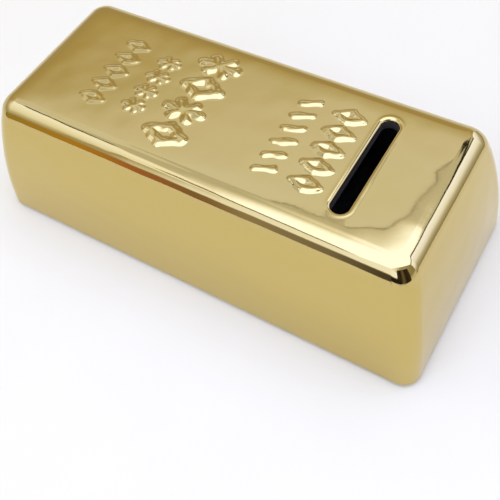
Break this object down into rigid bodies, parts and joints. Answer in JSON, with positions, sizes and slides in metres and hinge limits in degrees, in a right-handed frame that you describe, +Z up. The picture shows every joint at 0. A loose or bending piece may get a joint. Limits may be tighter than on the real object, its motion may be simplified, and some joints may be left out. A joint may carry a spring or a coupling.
{
  "type": "piggy bank",
  "caption": "Money box shaped like a cast gold bar: a hollow ceramic shell with a coin slot in its top and a soft pull-out stopper in its base.",
  "frame": {"origin": "middle of the footprint, on the surface that the pads stand on", "axes": "+X along the bar towards the coin slot, +Y across the bar, +Z up"},
  "size_m": [0.1698, 0.0768, 0.0522],
  "materials": {
    "gold_glaze": "polished",
    "soft_pvc": "satin",
    "soft_pvc_cap": "satin",
    "foam_pad": "matte"
  },
  "bodies": {
    "bank": {"bar_shell": "gold_glaze", "stopper_collar": "soft_pvc", "pad_front_left": "foam_pad", "pad_front_right": "foam_pad", "pad_back_left": "foam_pad", "pad_back_right": "foam_pad"},
    "cap": {"stopper_cap": "soft_pvc_cap"}
  },
  "joints": [
    {"name": "cap_pull", "type": "slide", "parent": "bank", "child": "cap", "axis": [0, 0, -1], "range_m": [0, 0.03]}
  ]
}
